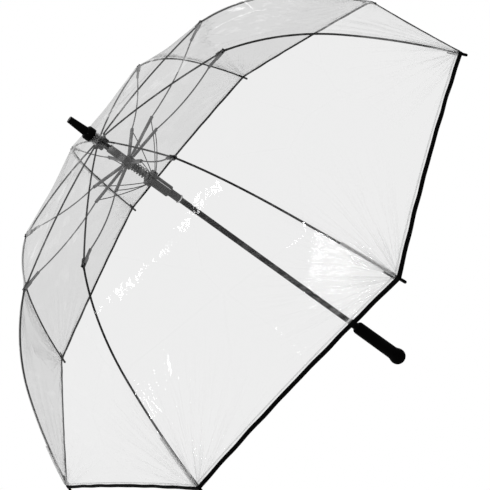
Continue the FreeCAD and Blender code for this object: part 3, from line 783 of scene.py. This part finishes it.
# %% Gathered film
def tube_piece(name, radius_of, heights, columns, material):
    """A tube round the shaft with its seam closed. radius_of takes the angle and the row's share."""
    turn = np.linspace(0, 2 * math.pi, columns, endpoint=False)
    share = np.linspace(0, 1, len(heights))
    turn, share = np.meshgrid(turn, share)
    radius = radius_of(turn, share)
    rise = np.broadcast_to(np.array(heights)[:, None], radius.shape)
    points = np.stack([radius * np.cos(turn), radius * np.sin(turn), rise], -1)
    index = np.arange(points.shape[0] * columns).reshape(-1, columns)
    after = np.roll(index, -1, 1)
    quads = np.stack([index[1:], after[1:], after[:-1], index[:-1]], -1).reshape(-1, 4)
    mesh = bpy.data.meshes.new(name)
    mesh.from_pydata(points.reshape(-1, 3).tolist(), [], quads.tolist())
    mesh.shade_smooth()
    mesh.materials.append(material)
    piece = bpy.data.objects.new(name, mesh)
    scene.collection.objects.link(piece)
    return piece, flat_area(np.concatenate([points, points[:, :1]], 1))


PLEATS = 26


def gathered_radius(turn, share):
    return 0.0090 + 0.0020 * share + 0.0006 * (0.3 + share) * np.cos(PLEATS * turn)


gather, gather_area = tube_piece("film_gather", gathered_radius, np.linspace(0.8202, 0.8068, 8),
                                 12 * PLEATS, weld_white)
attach(gather, "shaft")

print("gathered film", len(gather.data.polygons))

# %% [markdown]
# ## The coil spring
# The spring stands between the hub and the sleeve, so it has to shorten as the sleeve slides up to the
# hub. The binding's tree sweeps a round wire along a helix, and the piece goes with the hub; it is not
# squashed with that slide.

# %% Coil spring
spring_low, spring_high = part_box("main_spring")
turns, wire, coil_radius = 9, 0.0009, 0.0090
steps_round = np.linspace(0, 1, turns * 24 + 1)
round_and_round = steps_round * turns * 2 * math.pi
helix = np.stack([coil_radius * np.cos(round_and_round), coil_radius * np.sin(round_and_round),
                  spring_low[2] + wire + (spring_high[2] - spring_low[2] - 2 * wire) * steps_round], -1)
outwards = np.stack([np.cos(round_and_round), np.sin(round_and_round), 0 * steps_round], -1)
coil = grown("coil_spring", path_mesh("coil_spring", helix, outwards), folded_tape,
             {"Width": 2 * wire, "Thickness": 2 * wire, "Ripple": 0.0}, spring_wire)
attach(coil, "hub")
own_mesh(coil)
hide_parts("main_spring")

# %% [markdown]
# ## The sleeve's rib and bead
# The lower sleeve has a pale lengthwise rib and a bead round its foot, both moulded with it.

# %% Sleeve's bead and rib
sleeve_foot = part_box("sleeve")[0][2]
bead_rows = np.linspace(0, 2 * math.pi, 17)
bead, _ = tube_piece("sleeve_bead", lambda turn, share: 0.0083 - 0.0012 * np.cos(share * 2 * math.pi),
                     sleeve_foot + 0.0022 - 0.0014 * np.sin(bead_rows), 64, pale_grey)
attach(bead, "sleeve")

ridge_turn = math.radians(-75.0)
rows = np.linspace(0.6330, 0.6725, 14)
ends = np.sin(math.pi * np.linspace(0, 1, 14)) ** 0.15
profile = np.array([(0.01190, -0.00085), (0.01260, -0.00075), (0.01275, 0.0), (0.01260, 0.00075),
                    (0.01190, 0.00085)])
ridge_points = np.stack([np.stack([0.0119 + (profile[:, 0] - 0.0119) * end, profile[:, 1] * end,
                                   np.full(5, height)], -1) for height, end in zip(rows, ends)])
ridge = grid_piece("sleeve_ridge", turned(ridge_points, ridge_turn), pale_grey, False)
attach(ridge, "sleeve")
print("bead", len(bead.data.polygons), "ridge", len(ridge.data.polygons))

# %% [markdown]
# ## What each sheet is, flat
# Width is that of the piece's widest end, length is along the rib, and the area is measured on the
# taut surface.

for (rib, side, lower), (piece, area, points) in film_pieces.items():
    width = float(np.linalg.norm(points[-1, 0] - points[-1, -1]))
    length = (1 - JOINT_SHARE if lower else JOINT_SHARE) * LINE_LENGTH
    attached = [hems[rib, side], welds[rib, side]] if lower else []
    if lower and side > 0:
        attached += [pockets[rib], tabs[rib]]
print("sheets declared", len(film_pieces))


# %% [markdown]
# ## Finishes on the CAD nodes
# The CAD solids keep their shape and only take a better material. A node that holds more than one
# piece, such as a rib with its rivet, is one finish here.

# %% Assign finishes
def finish_node(name, material):
    mesh = nodes[name].data
    mesh.materials.clear()
    mesh.materials.append(material)


singles = {"shaft": shaft_steel, "ferrule": gloss_black, "crown_cap": gloss_black,
           "crown": hub_grey, "crown_ring": rivet_steel, "hub": hub_grey, "hub_ring": rivet_steel,
           "sleeve": sleeve_grey, "grip": handle_rubber, "latch_neck": neck_black,
           "button": button_grey}
repeated = {"rib_inner": rib_steel, "rib_outer": rib_rod, "tip_cap": tip_black,
            "stretcher": channel_steel, "strut": strut_wire}
for name, material in singles.items():
    finish_node(name, material)
for stem, material in repeated.items():
    for rib in RIBS:
        finish_node(f"{stem}_{rib}", material)
print("finished nodes", len(singles) + 8 * len(repeated))


# %% [markdown]
# ## Stage
# A plain white floor under the handle and a white surround. Seen directly both are white. As light and
# in reflections they are a little less than white. The blacks stay black because their finishes have
# a low specular level.

# %% Floor, surround and lamps
def seen_and_lit(tree, seen, lit):
    """An emission that is one strength to the camera and another to everything else."""
    path = tree.nodes.new("ShaderNodeLightPath")
    level = tree.nodes.new("ShaderNodeMapRange")
    level.inputs["To Min"].default_value = lit
    level.inputs["To Max"].default_value = seen
    tree.links.new(path.outputs["Is Camera Ray"], level.inputs["Value"])
    return level.outputs[0]


floor_mesh = bpy.data.meshes.new("floor")
half = 60.0
GAP_UNDER_HANDLE = 0.012
low = cad_box[0][2] - GAP_UNDER_HANDLE
floor_mesh.from_pydata([(-half, -half, low), (half, -half, low), (half, half, low),
                        (-half, half, low)], [], [(0, 1, 2, 3)])
floor = bpy.data.objects.new("floor", floor_mesh)
scene.collection.objects.link(floor)
floor_finish = Finish("pale_floor")
glow = floor_finish.node("ShaderNodeEmission", {}, {"Color": grey(1.0)})
floor_finish.tree.links.new(seen_and_lit(floor_finish.tree, 1.0, 0.75),
                            glow.socket.node.inputs["Strength"])
floor.data.materials.append(floor_finish.ends_in(glow))

world = bpy.data.worlds.new("surround")
world.use_nodes = True
scene.world = world
back = world.node_tree.nodes["Background"]
back.inputs["Color"].default_value = (1, 1, 1, 1)
world.node_tree.links.new(seen_and_lit(world.node_tree, 1.0, 0.92), back.inputs["Strength"])


def lamp(name, place, aim, size, power):
    light = bpy.data.lights.new(name, "AREA")
    light.shape, light.size, light.size_y, light.energy = "RECTANGLE", size[0], size[1], power
    holder = bpy.data.objects.new(name, light)
    scene.collection.objects.link(holder)
    holder.location = place
    heading = Vector(aim) - Vector(place)
    holder.rotation_mode = "QUATERNION"
    holder.rotation_quaternion = heading.to_track_quat("-Z", "Y")
    return holder


lamp("front_lamp", (-0.70, -2.08, 1.82), (-0.05, -0.55, 0.55), (0.42, 0.42), 24.0)
lamp("top_lamp", (-0.84, -0.45, 2.76), (0, -0.3, 0.7), (0.10, 0.10), 0.40)
lamp("side_lamp", (2.2, 1.4, 1.6), (0, 0, 0.5), (0.8, 0.8), 6)
print("stage ready")
